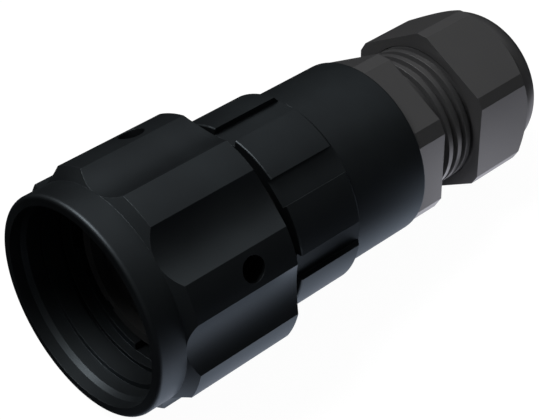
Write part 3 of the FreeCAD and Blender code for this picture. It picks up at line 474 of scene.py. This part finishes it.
sides = add_node(tree, "ShaderNodeMapRange", {"Value": beyond.outputs[0]},
                 {"From Min": GLOW_SIDES[0], "From Max": GLOW_SIDES[1],
                  "To Min": 1, "To Max": 0}, interpolation_type="SMOOTHSTEP")
strip = add_node(tree, "ShaderNodeMath", {0: ends.outputs[0], 1: sides.outputs[0]},
                 operation="MULTIPLY")
across = add_node(tree, "ShaderNodeSeparateXYZ", {0: spot.outputs["Object"]})
# Painted shadow: the strip's glow fades out where the plug shades the floor
shade = add_node(tree, "ShaderNodeMapRange", {"Value": across.outputs[1]},
                 {"From Min": SHADE_REACH[0], "From Max": SHADE_REACH[1],
                  "To Min": 1, "To Max": 0}, interpolation_type="SMOOTHSTEP")
tail = add_node(tree, "ShaderNodeMapRange", {"Value": across.outputs[0]},
                {"From Min": TAIL_REACH[0], "From Max": TAIL_REACH[1],
                 "To Min": 1, "To Max": TAIL_STRENGTH})
dimming = add_node(tree, "ShaderNodeMath", {0: shade.outputs[0], 1: tail.outputs[0]},
                   operation="MULTIPLY")
lit = add_node(tree, "ShaderNodeMath", {0: strip.outputs[0], 1: dimming.outputs[0]},
               operation="MULTIPLY")
# Painted light: a dim glow towards negative Y that only glossy rays see
haze = add_node(tree, "ShaderNodeMapRange", {"Value": across.outputs[1]},
                {"From Min": HAZE_REACH[0], "From Max": HAZE_REACH[1],
                 "To Min": HAZE_STRENGTH, "To Max": 0})
seen = add_node(tree, "ShaderNodeMath", {0: lit.outputs[0], 1: haze.outputs[0]},
                operation="MAXIMUM")
glow = add_node(tree, "ShaderNodeMath", {0: mirrored.outputs[0], 1: seen.outputs[0]},
                operation="MULTIPLY")
bright = add_node(tree, "ShaderNodeMath", {0: path.outputs["Is Camera Ray"]},
                  {1: WHITE_STRENGTH}, operation="MULTIPLY")
strength = add_node(tree, "ShaderNodeMath", {0: bright.outputs[0], 1: glow.outputs[0]},
                    operation="MAXIMUM")
# Painted reflection: the floor's glow is a little blue to glossy rays only, for a cool tint in the
# plug's gloss
tone = add_node(tree, "ShaderNodeMix", {"Factor": mirrored.outputs[0]}, data_type="RGBA")
tone.inputs[6].default_value = linear("#ffffff")
tone.inputs[7].default_value = linear("#f4f4ff")
light = add_node(tree, "ShaderNodeEmission", {"Color": tone.outputs[2],
                                              "Strength": strength.outputs[0]})
# The camera sees the paper as nearly all white, and the plug's shadow in the rest
camera_share = add_node(tree, "ShaderNodeMath", {0: path.outputs["Is Camera Ray"]},
                        {1: WHITE_SHARE}, operation="MULTIPLY")
share = add_node(tree, "ShaderNodeMath", {0: camera_share.outputs[0], 1: mirrored.outputs[0]},
                 operation="MAXIMUM")
mix = add_node(tree, "ShaderNodeMixShader",
               {0: share.outputs[0], 1: shader.outputs[0], 2: light.outputs[0]})
tree.links.new(mix.outputs[0], output.inputs[0])
floor.data.materials.append(paper)


# Light: a soft lamp high in front that reaches into the ring, a wide soft one above the cable
# end, and a pale room that is dimmer behind the plug and white to the camera.
def add_lamp(name, place, aim, size, power):
    """A square soft white lamp that points at a spot."""
    lamp = bpy.data.lights.new(name, "AREA")
    lamp.size = size
    lamp.energy = power
    holder = bpy.data.objects.new(name, lamp)
    bpy.context.scene.collection.objects.link(holder)
    direction = Vector(aim) - Vector(place)
    holder.matrix_world = (Matrix.Translation(place)
                           @ direction.to_track_quat("-Z", "Y").to_matrix().to_4x4())


middle = Vector((0, 0, 0.02))
add_lamp("high_lamp", (-0.203, 0.188, 0.552), middle, size=0.25, power=3.05)
add_lamp("top_lamp", (0.25, 0.075, 0.555), middle, size=0.8, power=0.62)

ROOM_REACH = (-0.3, 0.8)
ROOM_STRENGTH = (0.075, 0.015)
world = bpy.data.worlds.new("studio")
bpy.context.scene.world = world
world.use_nodes = True
tree = world.node_tree
way = add_node(tree, "ShaderNodeTexCoord")
parts = add_node(tree, "ShaderNodeSeparateXYZ", {0: way.outputs["Generated"]})
room = add_node(tree, "ShaderNodeMapRange", {"Value": parts.outputs[1]},
                {"From Min": ROOM_REACH[0], "From Max": ROOM_REACH[1],
                 "To Min": ROOM_STRENGTH[0], "To Max": ROOM_STRENGTH[1]})
path = add_node(tree, "ShaderNodeLightPath")
white = add_node(tree, "ShaderNodeMath", {0: path.outputs["Is Camera Ray"], 1: room.outputs[0]},
                 operation="MAXIMUM")
tree.nodes["Background"].inputs["Color"].default_value = linear("#ffffff")
tree.links.new(white.outputs[0], tree.nodes["Background"].inputs["Strength"])


# Camera: the photograph's view, worked out from the plug's outline in it. It looks down on the
# mating end from the front left with a long lens.
camera_lens = bpy.data.cameras.new("camera")
camera_lens.lens = 107.03
camera_lens.sensor_width = 36
camera = bpy.data.objects.new("camera", camera_lens)
bpy.context.scene.collection.objects.link(camera)
camera.location = (-0.134853, -0.148581, 0.17626)
camera.rotation_euler = [math.radians(turn) for turn in (50.6084, 3.9179, -43.8755)]
bpy.context.scene.camera = camera
bpy.context.scene.view_settings.view_transform = "Standard"
